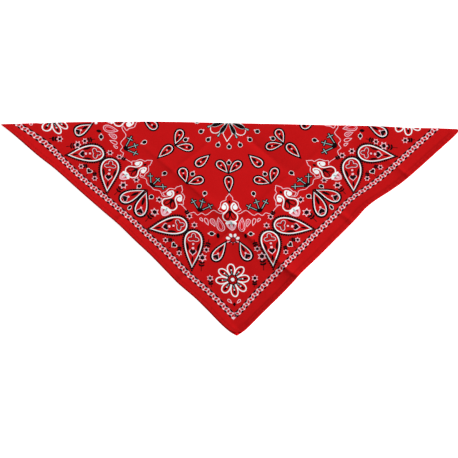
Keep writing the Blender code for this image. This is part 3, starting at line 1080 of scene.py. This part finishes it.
def inside(places, margin=0.0):
    """Whether places are on the square, clear of its rim and of the blunt tip."""
    p, q = places.T
    clear = (p > margin) & (p < 1 - margin) & (q > margin) & (q < 1 - margin)
    return clear & (p + 1 - q > CUT + 1.5 * margin)


whole = len(printed)
printed = [(name, loops) for name, loops in printed if all(inside(loop, INK_MARGIN).all() for loop in loops)]
print(whole - len(printed), "shapes run off the cloth and are left out")


def between(start, end, step, extra=()):
    """Places from start up to end, not counting end, at an even step, with extra ones among them."""
    start, end = np.array(start, float), np.array(end, float)
    length = np.linalg.norm(end - start)
    at = np.arange(round(length / step)) * length / round(length / step)
    if len(extra):
        extra = np.linalg.norm(np.array(extra) - start, axis=1)
        at = np.sort(np.r_[at[np.abs(at[:, None] - extra).min(axis=1) > 0.1 * step], extra])
    return start + np.outer(at / length, end - start)


def rim():
    """The square's edge as one closed line."""
    left_ends = [(1 - row, 0) if row > 0 else (1, -row) for row in BEND_ROWS if row]
    right_ends = [((CUT - row) / 2, 1 - (CUT + row) / 2) for row in BEND_ROWS]
    return np.concatenate((
        between((0, 0), (1, 0), STATION, [end for end in left_ends if end[1] == 0]),
        between((1, 0), (1, 1), STATION, [end for end in left_ends if end[1] > 0]),
        between((1, 1), (CUT, 1), STATION),
        between((CUT, 1), (0, 1 - CUT), STATION, right_ends),
        between((0, 1 - CUT), (0, 0), STATION),
    ))


def rows():
    """Lines of places that the triangles must follow."""
    lines = []
    for row in EDGE_ROWS:
        corners = [(row, row), (1 - row, row), (1 - row, 1 - row), (row, 1 - row)]
        for start, end in zip(corners, corners[1:] + corners[:1]):
            line = between(start, end, STATION)
            lines.append(line[inside(line, ROW_MARGIN)])
    for row in BEND_ROWS:
        left = (1 - row, 0) if row >= 0 else (1, -row)
        lines.append(between(left, ((CUT - row) / 2, 1 - (CUT + row) / 2), 1.2 * STATION)[1:])
    return lines


print("rim places:", len(rim()), "in rows:", sum(map(len, rows())))

# %% [markdown]
# ### Loose places
# The rest of the square needs no lines, only places for corners of triangles, closer together along the
# creases.

# %% The even grid and the creases
def grid(front_step, under_step):
    """Loose places over the square, at one step on the front half and another on the under one."""
    found = []
    for step, side in ((front_step, 1), (under_step, -1)):
        count = round(1 / step)
        p, q = np.meshgrid(*2 * [(np.arange(count) + 0.5) / count])
        places = np.c_[p.ravel(), q.ravel()]
        found.append(places[(1 - places.sum(axis=1)) * side > 3 * BEND_HALF / DEPTH])
    return np.concatenate(found)


def crease_rows():
    """Loose places along each crease and on both sides of it."""
    found = []
    for quarter in (0.25, 0.5, 0.75):
        for row in CREASE_ROWS:
            along = np.arange(0, 1 - quarter, FRONT_STEP)
            for drift, axes in ((P_DRIFT, (0, 1)), (Q_DRIFT, (1, 0))):
                start = dict(drift)[quarter] * (1 - along / (1 - quarter))
                found.append(np.c_[quarter + row + start, along][:, axes])
    found = np.concatenate(found)
    return found[1 - found.sum(axis=1) > 2 * BEND_HALF / DEPTH]


print("places in the grid:", len(grid(FRONT_STEP, UNDER_STEP)), "along the creases:", len(crease_rows()))

# %% [markdown]
# ## The cloth
# The outer face carries the ink. The inner face, never seen while the bandana lies folded, follows it one
# cloth's thickness inside with far fewer triangles, and a narrow strip joins the two round the rim.

# %% Triangles
PER_SHARE = SIDE / MM       # triangulating runs in millimetres
PLAIN_ROWS = (4, 11)        # which of the edge rows the inner face follows
PLAIN_BEND_MARGIN = 0.5 * MM / SIDE
PLAIN_MARGIN = 12 * MM / SIDE


def triangulate(places, edges):
    corners = [Vector(place) for place in places * PER_SHARE]
    points, _, faces, *_ = delaunay_2d_cdt(corners, edges, [], 0, 1e-4, False)
    return np.array(points) / PER_SHARE, np.array(faces)


def closed_edges(first, count):
    return [(first + k, first + (k + 1) % count) for k in range(count)]


def printed_triangles():
    """The outer face: the rim, the rows and every edge of ink, triangulated together."""
    edge_line = rim()
    places, edges = [edge_line], closed_edges(0, len(edge_line))
    count = len(edge_line)
    for line in rows():
        places.append(line)
        edges += [(count + k, count + k + 1) for k in range(len(line) - 1)]
        count += len(line)
    for _, loops in printed:
        for line in loops:
            places.append(line)
            edges += closed_edges(count, len(line))
            count += len(line)
    loose = np.concatenate((grid(FRONT_STEP, UNDER_STEP), crease_rows()))
    places.append(loose[inside(loose, LOOSE_MARGIN)])
    return triangulate(np.concatenate(places), edges)


def plain_triangles(edge_line):
    """The inner face: the same rim, the bend's rows and a coarse grid."""
    lines = rows()
    bend = np.concatenate(lines[-len(BEND_ROWS):])
    hem = [line[::3] for row in PLAIN_ROWS for line in lines[4 * row: 4 * row + 4]]
    loose = grid(2 * FRONT_STEP, 2 * UNDER_STEP)
    found = [edge_line, bend[inside(bend, PLAIN_BEND_MARGIN)], *hem, loose[inside(loose, PLAIN_MARGIN)]]
    return triangulate(np.concatenate(found), closed_edges(0, len(edge_line)))


def rim_order(faces):
    """The rim's vertices in order round the outer face."""
    sides = np.concatenate((faces[:, (0, 1)], faces[:, (1, 2)], faces[:, (2, 0)]))
    known = set(map(tuple, sides.tolist()))
    ahead = {a: b for a, b in known if (b, a) not in known}
    order = [next(iter(ahead))]
    while ahead[order[-1]] != order[0]:
        order.append(ahead[order[-1]])
    return order


outer, outer_faces = printed_triangles()
rim_line = rim_order(outer_faces)
inner, inner_faces = plain_triangles(outer[rim_line])
print(f"outer face {len(outer_faces)} triangles, inner face {len(inner_faces)}, rim {len(rim_line)} places")

# %% [markdown]
# ### Which ink lies where
# Screens are printed one over the other, so the shapes are gone through in the order of printing, and the
# last one that covers the middle of a triangle gives it its ink.

# %% The ink over each triangle
# red, green, blue of the dry ink and how well it covers the cloth
INKS = {
    "red": (0.0, 0.0, 0.0, 0.0),
    "white": (0.83, 0.89, 0.90, 0.97),
    "blush": (0.83, 0.56, 0.63, 0.95),
    "pink": (0.80, 0.33, 0.42, 0.92),
    "grey": (0.34, 0.53, 0.53, 0.97),
    "black": (0.003, 0.003, 0.004, 1.00),
}
INK_NAMES = list(INKS)


def within(points, line):
    """Whether points are inside a closed line."""
    found = np.zeros(len(points), bool)
    x, y = points.T
    for (x0, y0), (x1, y1) in zip(line, np.roll(line, -1, 0)):
        if y0 != y1:
            found ^= ((y0 > y) != (y1 > y)) & (x < (x1 - x0) * (y - y0) / (y1 - y0) + x0)
    return found


def ink_over(centres):
    """Which ink lies on top at each place."""
    found = np.zeros(len(centres), int)
    order = np.argsort(centres[:, 0])
    sorted_p = centres[order, 0]
    for name, loops in printed:
        low = np.min([line.min(axis=0) for line in loops], axis=0)
        high = np.max([line.max(axis=0) for line in loops], axis=0)
        near = order[slice(*np.searchsorted(sorted_p, (low[0], high[0])))]
        near = near[(centres[near, 1] > low[1]) & (centres[near, 1] < high[1])]
        covered = np.zeros(len(near), bool)
        for line in loops:
            covered ^= within(centres[near], line)
        found[near[covered]] = INK_NAMES.index(name)
    return found


outer_inks = ink_over(outer[outer_faces].mean(axis=1))
print("triangles by ink:", {name: int((outer_inks == k).sum()) for k, name in enumerate(INK_NAMES)})

# %% [markdown]
# ### Folding it up
# The triangles were made on the flat square, so folding is only a matter of where `lay` puts their corners.
# The sheet keeps two flat layouts: one in metres of cloth, which the threads follow, and one for baking, in
# which each face has room of its own. The ink rides on the corners of the triangles, so it changes only at
# its edges.

# %% The cloth's mesh
# in the layout for baking, where each face's strip starts from the bottom and how high it is
OUTER_STRIP = (0.07, 0.93)
INNER_STRIP = (0.0, 0.06)
RIM_STRIP = (0.062, 0.006)


def add_piece(name, points, faces):
    """A smooth piece from its points and faces, and which point each corner of its faces is."""
    mesh = bpy.data.meshes.new(name)
    mesh.from_pydata(np.asarray(points).tolist(), [], faces)
    mesh.shade_smooth()
    piece = bpy.data.objects.new(name, mesh)
    bpy.context.scene.collection.objects.link(piece)
    corner_point = np.zeros(len(mesh.loops), int)
    mesh.loops.foreach_get("vertex_index", corner_point)
    return piece, corner_point


def add_cloth():
    """The square with its print, folded."""
    nearest = {tuple(np.round(place * PER_SHARE, 2)): k for k, place in enumerate(inner)}
    inner_rim = [len(outer) + nearest[tuple(np.round(outer[k] * PER_SHARE, 2))] for k in rim_line]
    rim_faces = [
        (a, b, d, c)
        for a, b, c, d in zip(rim_line, rim_line[1:] + rim_line[:1], inner_rim, inner_rim[1:] + inner_rim[:1])
    ]
    outer_out, inner_out = facing(*outer.T), facing(*inner.T)
    points = np.r_[lay(*outer.T), lay(*inner.T) - CLOTH * inner_out]
    faces = outer_faces[:, ::-1].tolist() + (inner_faces + len(outer)).tolist() + rim_faces
    sheet, corner_point = add_piece("printed_cloth", points, faces)
    mesh = sheet.data
    outer_corners, rim_corners = 3 * len(outer_faces), 4 * len(rim_faces)
    first_rim = len(corner_point) - rim_corners

    shares = np.r_[outer, inner][corner_point]
    threads = mesh.uv_layers.new(name="Threads")
    threads.data.foreach_set("uv", (shares * SIDE).ravel())
    bake = mesh.uv_layers.new(name="OFBake")
    layout = np.c_[shares[:, 0], OUTER_STRIP[0] + OUTER_STRIP[1] * shares[:, 1]]
    layout[outer_corners:first_rim, 1] = INNER_STRIP[0] + INNER_STRIP[1] * shares[outer_corners:first_rim, 1]
    run = np.arange(len(rim_faces))[:, None]
    layout[first_rim:, 0] = ((run + (0, 1, 1, 0)) / len(rim_faces)).ravel()
    layout[first_rim:, 1] = np.tile(RIM_STRIP[0] + RIM_STRIP[1] * np.array((0, 0, 1, 1)), len(rim_faces))
    bake.data.foreach_set("uv", layout.ravel())

    colours = np.zeros((len(corner_point), 4))
    colours[:outer_corners] = np.repeat(np.array(list(INKS.values()))[outer_inks], 3, axis=0)
    mesh.color_attributes.new("ink", "FLOAT_COLOR", "CORNER").data.foreach_set("color", colours.ravel())

    flat_normals = np.zeros(3 * len(mesh.polygons))
    mesh.polygons.foreach_get("normal", flat_normals)
    corner_out = np.r_[outer_out, -inner_out][corner_point]
    corner_out[first_rim:] = np.repeat(flat_normals.reshape(-1, 3)[-len(rim_faces):], 4, axis=0)
    mesh.normals_split_custom_set(corner_out.tolist())
    return sheet


cloth = add_cloth()
span = np.ptp([vertex.co for vertex in cloth.data.vertices], axis=0)
print("cloth spans in mm:", (span / MM).round(1).tolist(), "triangles:", len(cloth.data.polygons))

# %% [markdown]
# ## Hems
# Each side of the square is turned over twice onto the back and stitched down. On the bandana that turning
# is one with the sheet. Here it is a strip of its own inside the sheet's rounded rim, because it shows only
# there and where the under layer peeks out at the point. The left hem of each half holds the corner, and
# the right one butts against it.

# %% Hem strips
# the front hem, mm: across from its rim, and up from the cloth's printed face, below which it hangs
HEM_SECTION = (
    (0.03, -0.68), (0.10, -0.95), (0.30, -1.18), (0.65, -1.30), (6.70, -1.30), (7.00, -1.05), (7.00, -0.80),
    (6.70, -0.55), (0.70, -0.55), (0.50, -0.68),
)
HEM_END_CLEAR = 2 * MM      # how far from the bend a hem strip ends
HEM_BUTT = 0.15 * MM        # the gap where the right hem butts against the left one
SECTION_STRETCH = 1.5       # the layout of its threads takes the bent section as longer by this


def strip_faces(rings, per_ring, first=0):
    """The faces of a closed strip through rings of points, and of its two ends."""
    last = first + (rings - 1) * per_ring
    faces = [tuple(range(first, first + per_ring)), tuple(range(last, last + per_ring))[::-1]]
    for start in range(first, last, per_ring):
        for k in range(per_ring):
            a, b = start + k, start + (k + 1) % per_ring
            faces.append((a, a + per_ring, b + per_ring, b))
    return faces


def add_hem(name, upper, side):
    across_it, up = np.array(HEM_SECTION).T * MM
    first = 0.0 if side == "left" else (HEM_WIDTH + HEM_BUTT) / SIDE
    last = 1 - (HEM_WIDTH + HEM_END_CLEAR) / SIDE
    stations = np.r_[np.arange(first, last, STATION), last]
    along = np.repeat(stations, len(across_it))
    inwards = np.tile(across_it / SIDE, len(stations))
    height = np.tile(HEM_TOP + up if upper else -up, len(stations))
    p, q = (along, inwards) if side == "left" else (inwards, along)
    points = half_place(p, q, np.full(len(p), upper), height)
    strip, corner_point = add_piece(name, points, strip_faces(len(stations), len(across_it)))
    threads = strip.data.uv_layers.new(name="Threads")
    threads.data.foreach_set("uv", (np.c_[along, inwards * SECTION_STRETCH] * SIDE)[corner_point].ravel())
    return strip


hems = {
    f"{half}_hem_{side}": add_hem(f"{half}_hem_{side}_strip", half == "front", side)
    for half in ("front", "under")
    for side in ("left", "right")
}
print("hem strips:", [strip.name for strip in hems.values()])

# %% [markdown]
# ## Stitches
# One line of lockstitch holds the hem down, about eight stitches to the inch. Each is a short length of
# thread sunk a little into the cloth, so it is a small closed bead that follows the sheet. A few hundred of
# them are joined into one piece for each half.

# %% Stitches
STITCH_PITCH = 3.1 * MM
STITCH_LENGTH = 2.3 * MM
STITCHES_START = 10 * MM    # from the corner to the first stitch
STITCHES_FREE = 26 * MM     # what the row leaves free at its two ends together
STITCH_SWAY = 0.12 * MM     # off the line, and how fast it comes and goes, in radians to a stitch
SWAY_RATE = 1.7
THREAD = 0.17 * MM          # radius
THREAD_RISE = 0.05 * MM     # of the thread's middle over the cloth
# place along the stitch as a share of its length, share of the thread's thickness
STITCH_SHAPE = ((-0.5, 0.25), (-0.38, 0.8), (0.0, 1.0), (0.38, 0.8), (0.5, 0.25))
STITCH_SIDES = 5


def side_line(along, inwards, upper, side):
    """Shares of the flat square along one of its four sides, counted from the tips' ends or the point."""
    p, q = (along, inwards) if side == "left" else (inwards, along)
    return (p, q) if upper else (1 - q, 1 - p)


def stitch_rings(upper, side):
    """Middles and outward directions of all the stitches' rings on one side."""
    count = int((SIDE - STITCHES_FREE) / STITCH_PITCH)
    starts = STITCHES_START + np.arange(count) * STITCH_PITCH
    steps = np.array([step for step, _ in STITCH_SHAPE]) * STITCH_LENGTH
    along = (starts[:, None] + steps).ravel() / SIDE
    sway = STITCH_SWAY * np.sin(SWAY_RATE * np.repeat(np.arange(count), len(steps)))
    inwards = (STITCH_LINE + sway) / SIDE
    p, q = side_line(along, inwards, upper, side)
    return lay(p, q), facing(p, q), count


def add_stitches(name, upper):
    points, faces = [], []
    rings = len(STITCH_SHAPE)
    size = np.array([share for _, share in STITCH_SHAPE]) * THREAD
    for side in ("left", "right"):
        middles, out, count = stitch_rings(upper, side)
        run = middles[rings - 1::rings] - middles[::rings]
        run = np.repeat(run / np.linalg.norm(run, axis=1)[:, None], rings, axis=0)
        square = np.cross(out, run)
        for ring in range(count * rings):
            if ring % rings == 0:
                faces += strip_faces(rings, STITCH_SIDES, len(points))
            for turn in -spots(STITCH_SIDES):
                aside = square[ring] * math.cos(turn) + out[ring] * math.sin(turn)
                points.append(middles[ring] + out[ring] * THREAD_RISE + aside * size[ring % rings])
    return add_piece(name, points, faces)[0]


stitches = [add_stitches("front_stitches", True), add_stitches("under_stitches", False)]
print("stitch triangles:", [2 * len(piece.data.polygons) for piece in stitches])

# %% [markdown]
# ## Cotton
# The dye takes a little differently thread by thread, so the red is streaked faintly along both threads and
# clouded over larger patches. The ink sits on the thread tops and lets a trace of red through. The weave
# itself is a fine bump. Worn-in cotton is matt from every side, and only the sewing thread has a little
# gloss.

# %% Materials
THREAD_PITCH = 0.42 * MM
WEAVE_RELIEF = 0.08 * MM
# streaks of dye to a metre, across a thread and along it, and clouds to a metre
STREAKS_ACROSS = 2200.0
STREAKS_ALONG = 130.0
CLOUDS = 17.0
# how well the ink covers, and how much better where a streak is light
INK_COVER = 0.93
STREAK_COVER = 0.12


def cotton(name, dark, light, printed_face):
    material, shader, wire = new_material(name, 0.87)
    threads = wire.add("UVMap", {"uv_map": "Threads"}, {})
    warp = threads.stretched((STREAKS_ACROSS, STREAKS_ALONG, 0.0)).noise(1.0)
    weft = threads.stretched((STREAKS_ALONG, STREAKS_ACROSS, 0.0)).noise(1.0)
    cloud = threads.noise(CLOUDS)
    shade = 0.3 * warp + 0.3 * weft + 0.4 * cloud
    base = shade.mix(dark, light)
    if printed_face:
        dry_ink = wire.add("Attribute", {"attribute_name": "ink"}, {}, output="Color")
        cover = wire.add("Attribute", {"attribute_name": "ink"}, {}, output="Alpha")
        base = (cover * (INK_COVER + STREAK_COVER * warp)).mix(base, dry_ink)
    join(base, shader.inputs["Base Color"])
    along_p, along_q = [wire.add("SeparateXYZ", {}, {"Vector": threads}, output=axis) for axis in "XY"]
    weave = (along_p * (math.pi / THREAD_PITCH)).sine() * (along_q * (math.pi / THREAD_PITCH)).sine()
    relief = weave + 0.5 * warp + 0.5 * weft
    bump = wire.add("Bump", {}, {"Height": relief, "Strength": 0.3, "Distance": WEAVE_RELIEF})
    join(bump, shader.inputs["Normal"])
    return material


def sewing_thread():
    material, shader, wire = new_material("red_thread", 0.6, 0.2)
    plies = wire.add("TexCoord", {}, {}, output="Object").stretched((900.0, 900.0, 900.0)).noise(1.0)
    join(plies.mix((0.42, 0.004, 0.006, 1), (0.58, 0.012, 0.014, 1)), shader.inputs["Base Color"])
    return material


def dress(piece, material):
    piece.data.materials.append(material)
    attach(piece, "root")


red_print = cotton("printed_red_cotton", (0.435, 0.004, 0.005, 1), (0.550, 0.010, 0.011, 1), True)
red_hem = cotton("red_hem_cotton", (0.52, 0.002, 0.004, 1), (0.62, 0.004, 0.007, 1), False)
dress(cloth, red_print)
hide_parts("front_half", "fold_bend", "under_half")
for node, strip in hems.items():
    dress(strip, red_hem)
    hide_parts(node)
red_thread = sewing_thread()
for piece in stitches:
    dress(piece, red_thread)
print("materials:", [material.name for material in bpy.data.materials])
